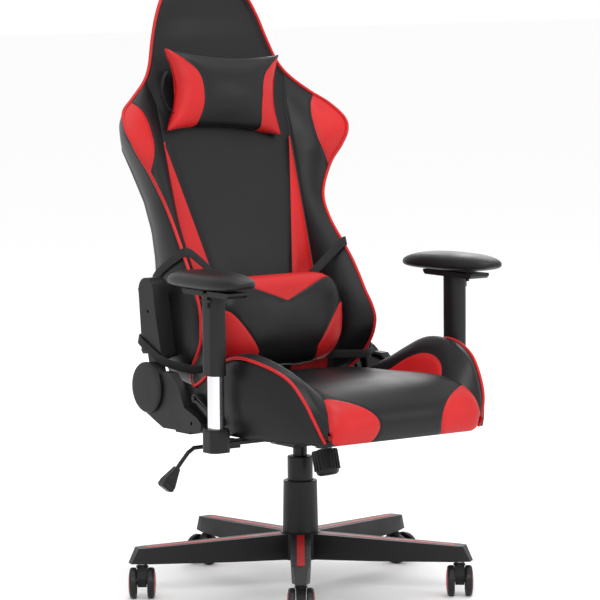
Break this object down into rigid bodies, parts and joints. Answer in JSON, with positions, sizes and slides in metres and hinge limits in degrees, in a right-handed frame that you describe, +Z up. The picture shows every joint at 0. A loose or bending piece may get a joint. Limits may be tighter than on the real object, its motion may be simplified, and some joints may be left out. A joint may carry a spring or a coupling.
{
  "type": "gaming chair",
  "caption": "Racing-style swivel chair with winged seat and backrest, head and lumbar pillows, sliding armrests, recliner and a five-star caster base.",
  "frame": {"origin": "on the floor, where the swivel axis meets it", "axes": "+Z up along the swivel axis, the sitter faces -Y, +X to the sitter's left"},
  "size_m": [0.7009, 0.7764, 1.215],
  "materials": {
    "nylon_black": "satin",
    "wheel_black": "satin",
    "inlay_red": "satin",
    "steel_black": "satin",
    "steel_bright": "satin",
    "chrome": "polished",
    "leather_black": "satin",
    "leather_red": "satin",
    "pad_black": "matte",
    "elastic_black": "matte"
  },
  "bodies": {
    "base": {"star_base": "nylon_black", "leg_inlays": "inlay_red", "gas_cylinder": "steel_black", "column_cover": "nylon_black", "guide_bush": "nylon_black", "thrust_bearing": "steel_bright", "caster_stems": "steel_bright"},
    "caster_1": {"caster_fork_1": "nylon_black"},
    "wheels_1": {"caster_wheels_1": "wheel_black", "caster_caps_1": "inlay_red"},
    "caster_2": {"caster_fork_2": "nylon_black"},
    "wheels_2": {"caster_wheels_2": "wheel_black", "caster_caps_2": "inlay_red"},
    "caster_3": {"caster_fork_3": "nylon_black"},
    "wheels_3": {"caster_wheels_3": "wheel_black", "caster_caps_3": "inlay_red"},
    "caster_4": {"caster_fork_4": "nylon_black"},
    "wheels_4": {"caster_wheels_4": "wheel_black", "caster_caps_4": "inlay_red"},
    "caster_5": {"caster_fork_5": "nylon_black"},
    "wheels_5": {"caster_wheels_5": "wheel_black", "caster_caps_5": "inlay_red"},
    "spindle": {"piston_rod": "steel_bright"},
    "carriage": {"lift_tube": "steel_bright", "tilt_housing": "steel_black", "tilt_pin": "steel_bright", "tilt_spring": "steel_bright"},
    "release": {"release_pin": "steel_bright"},
    "lift_lever": {"lift_lever": "steel_black", "lift_lever_grip": "nylon_black"},
    "seat": {"seat_plate": "steel_black", "seat_frame": "steel_black", "seat_bolts": "steel_bright", "seat_cushion": "leather_black", "seat_wing_right": "leather_red", "seat_wing_left": "leather_red", "arm_bracket_right": "steel_black", "arm_bracket_left": "steel_black", "arm_tube_right": "chrome", "arm_tube_left": "chrome", "recliner_plates": "steel_black", "recliner_cover_right": "nylon_black", "recliner_cover_left": "nylon_black", "recliner_caps": "nylon_black", "recline_spring": "steel_bright"},
    "knob": {"tension_knob": "nylon_black"},
    "recline_lever": {"recline_lever": "steel_black"},
    "arm_right": {"arm_sleeve_right": "nylon_black", "arm_pad_right": "pad_black"},
    "arm_left": {"arm_sleeve_left": "nylon_black", "arm_pad_left": "pad_black"},
    "trigger_right": {"arm_trigger_right": "nylon_black"},
    "trigger_left": {"arm_trigger_left": "nylon_black"},
    "back": {"back_frame": "steel_black", "back_arm_covers": "nylon_black", "back_cushion": "leather_black", "back_wings": "leather_red", "head_pillow": "leather_black", "lumbar_pillow": "leather_black", "pillow_straps": "elastic_black"}
  },
  "joints": [
    {"name": "caster_swivel_1", "type": "hinge", "parent": "base", "child": "caster_1", "pos_m": [-0.19103, -0.26293, 0.055], "axis": [0, 0, 1], "continuous": true},
    {"name": "wheel_roll_1", "type": "hinge", "parent": "caster_1", "child": "wheels_1", "pos_m": [-0.19926, -0.27426, 0.03], "axis": [0.809, -0.5878, 0], "continuous": true},
    {"name": "caster_swivel_2", "type": "hinge", "parent": "base", "child": "caster_2", "pos_m": [0.19103, -0.26293, 0.055], "axis": [0, 0, 1], "continuous": true},
    {"name": "wheel_roll_2", "type": "hinge", "parent": "caster_2", "child": "wheels_2", "pos_m": [0.1828, -0.27426, 0.03], "axis": [0.809, -0.5878, 0], "continuous": true},
    {"name": "caster_swivel_3", "type": "hinge", "parent": "base", "child": "caster_3", "pos_m": [0.30909, 0.10043, 0.055], "axis": [0, 0, 1], "continuous": true},
    {"name": "wheel_roll_3", "type": "hinge", "parent": "caster_3", "child": "wheels_3", "pos_m": [0.31501, 0.08774, 0.03], "axis": [0.9063, 0.4226, 0], "continuous": true},
    {"name": "caster_swivel_4", "type": "hinge", "parent": "base", "child": "caster_4", "pos_m": [0, 0.325, 0.055], "axis": [0, 0, 1], "continuous": true},
    {"name": "wheel_roll_4", "type": "hinge", "parent": "caster_4", "child": "wheels_4", "pos_m": [-0.01352, 0.32138, 0.03], "axis": [0.2588, -0.9659, 0], "continuous": true},
    {"name": "caster_swivel_5", "type": "hinge", "parent": "base", "child": "caster_5", "pos_m": [-0.30909, 0.10043, 0.055], "axis": [0, 0, 1], "continuous": true},
    {"name": "wheel_roll_5", "type": "hinge", "parent": "caster_5", "child": "wheels_5", "pos_m": [-0.31732, 0.0891, 0.03], "axis": [0.809, -0.5878, 0], "continuous": true},
    {"name": "seat_swivel", "type": "hinge", "parent": "base", "child": "spindle", "pos_m": [0, 0, 0.063], "axis": [0, 0, 1], "continuous": true},
    {"name": "gas_lift", "type": "slide", "parent": "spindle", "child": "carriage", "axis": [0, 0, 1], "range_m": [0, 0.08]},
    {"name": "tilt", "type": "hinge", "parent": "carriage", "child": "seat", "pos_m": [0, -0.026, 0.306], "axis": [-1, 0, 0], "range_deg": [0, 12], "stiffness_Nm_per_rad": 200, "springref_deg": -25.78, "deforming": ["tilt_spring"]},
    {"name": "lift_lever_pull", "type": "hinge", "parent": "carriage", "child": "lift_lever", "pos_m": [-0.0365, -0.008, 0.304], "axis": [0, 1, 0], "range_deg": [0, 5], "stiffness_Nm_per_rad": 12, "springref_deg": -2.86},
    {"name": "release_press", "type": "slide", "parent": "carriage", "child": "release", "axis": [0, 0, -1], "range_m": [0, 0.0033]},
    {"name": "knob_turn", "type": "hinge", "parent": "seat", "child": "knob", "pos_m": [0, -0.086, 0.262], "axis": [0, 0.2588, 0.9659], "range_deg": [-360, 720]},
    {"name": "recline", "type": "hinge", "parent": "seat", "child": "back", "pos_m": [0, 0.135, 0.405], "axis": [-1, 0, 0], "range_deg": [-5, 45]},
    {"name": "recline_lever_pull", "type": "hinge", "parent": "seat", "child": "recline_lever", "pos_m": [-0.259, -0.021, 0.399], "axis": [-1, 0, 0], "range_deg": [0, 20], "stiffness_Nm_per_rad": 1, "springref_deg": -11.46},
    {"name": "arm_height_right", "type": "slide", "parent": "seat", "child": "arm_right", "axis": [0, 0, 1], "range_m": [-0.08, 0.02]},
    {"name": "arm_height_left", "type": "slide", "parent": "seat", "child": "arm_left", "axis": [0, 0, 1], "range_m": [-0.08, 0.02]},
    {"name": "trigger_pull_right", "type": "slide", "parent": "arm_right", "child": "trigger_right", "axis": [0, 0, 1], "range_m": [0, 0.0035], "stiffness_N_per_m": 400, "springref_m": -0.003},
    {"name": "trigger_pull_left", "type": "slide", "parent": "arm_left", "child": "trigger_left", "axis": [0, 0, 1], "range_m": [0, 0.0035], "stiffness_N_per_m": 400, "springref_m": -0.003}
  ],
  "couplings": [
    {"joint": "release_press", "follows": "lift_lever_pull", "m_per_rad": 0.0365}
  ]
}
